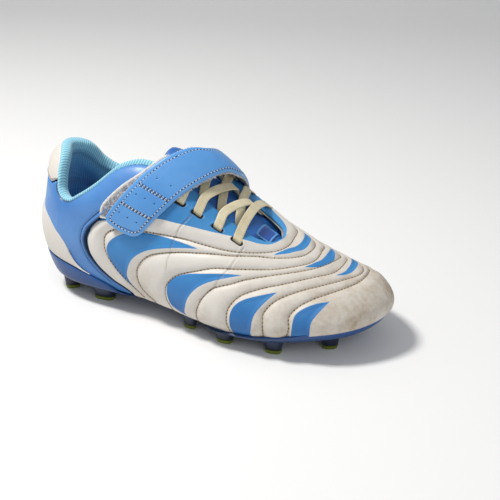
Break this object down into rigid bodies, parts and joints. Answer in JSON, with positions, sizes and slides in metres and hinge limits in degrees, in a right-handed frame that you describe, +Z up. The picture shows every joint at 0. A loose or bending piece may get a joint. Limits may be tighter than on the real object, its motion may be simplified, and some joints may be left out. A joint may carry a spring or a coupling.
{
  "type": "soccer cleat",
  "caption": "Child's right soccer cleat with a quilted upper, padded collar, elastic lace, peel-open instep strap and moulded stud plate.",
  "frame": {"origin": "middle of the bounding box, on the ground", "axes": "+X towards the toe, +Y towards the inner side of the foot, +Z up"},
  "size_m": [0.228, 0.092, 0.1045],
  "materials": {
    "white_synthetic": "grained synthetic leather, quilted",
    "blue_synthetic": "smooth satin synthetic leather",
    "blue_plate": "glossy moulded plate",
    "lime_tip": "satin moulded stud tip",
    "collar_knit": "ribbed knit",
    "foam_padding": "soft open foam",
    "fibre_board": "pressed fibre board",
    "sockliner_fabric": "brushed fabric over foam",
    "glossy_patch": "glossy welded patch",
    "elastic_lace": "flat ribbed elastic",
    "white_pile": "brushed hook and loop pile"
  },
  "bodies": {
    "shoe": {"vamp": "white_synthetic", "quarter_outer": "blue_synthetic", "quarter_inner": "blue_synthetic", "heel_overlay": "white_synthetic", "heel_tab": "white_synthetic", "heel_counter": "fibre_board", "vamp_padding": "foam_padding", "toe_stiffener": "fibre_board", "vamp_lining": "collar_knit", "throat_facing": "white_synthetic", "collar_foam": "foam_padding", "collar_lining": "collar_knit", "insole_board": "fibre_board", "sockliner": "sockliner_fabric", "outsole_plate": "blue_plate", "elastic_lace": "elastic_lace", "strap_anchor": "blue_synthetic", "loop_pad": "white_pile", "stud_tip_heel_outer_rear": "lime_tip", "stud_tip_heel_outer_front": "lime_tip", "stud_tip_heel_inner_rear": "lime_tip", "stud_tip_heel_inner_front": "lime_tip", "stud_tip_mid_outer": "lime_tip", "stud_tip_ball_outer": "lime_tip", "stud_tip_fore_outer": "lime_tip", "stud_tip_toe_outer": "lime_tip", "stud_tip_mid_inner": "lime_tip", "stud_tip_ball_inner": "lime_tip", "stud_tip_fore_inner": "lime_tip", "stud_tip_toe_inner": "lime_tip"},
    "tongue": {"tongue_shell": "blue_synthetic", "tongue_foam": "foam_padding", "tongue_lining": "collar_knit", "tongue_patch": "glossy_patch"},
    "strap": {"strap_band": "blue_synthetic", "strap_backing": "white_pile"},
    "strap_end": {"strap_tab": "blue_synthetic", "hook_pad": "white_pile"}
  },
  "joints": [
    {"name": "tongue_swing", "type": "hinge", "parent": "shoe", "child": "tongue", "pos_m": [0.0462, 0.00246, 0.04952], "axis": [0, -1, 0], "range_deg": [0, 8], "stiffness_Nm_per_rad": 0.5, "springref_deg": -2.86},
    {"name": "strap_peel", "type": "hinge", "parent": "shoe", "child": "strap", "pos_m": [0.00038, 0.03321, 0.07167], "axis": [-0.9362, 0.0352, 0.3498], "range_deg": [0, 100]},
    {"name": "strap_end_peel", "type": "hinge", "parent": "strap", "child": "strap_end", "pos_m": [-0.0219, -0.03222, 0.08407], "axis": [-0.9407, -0.0043, 0.3394], "range_deg": [0, 70]}
  ]
}
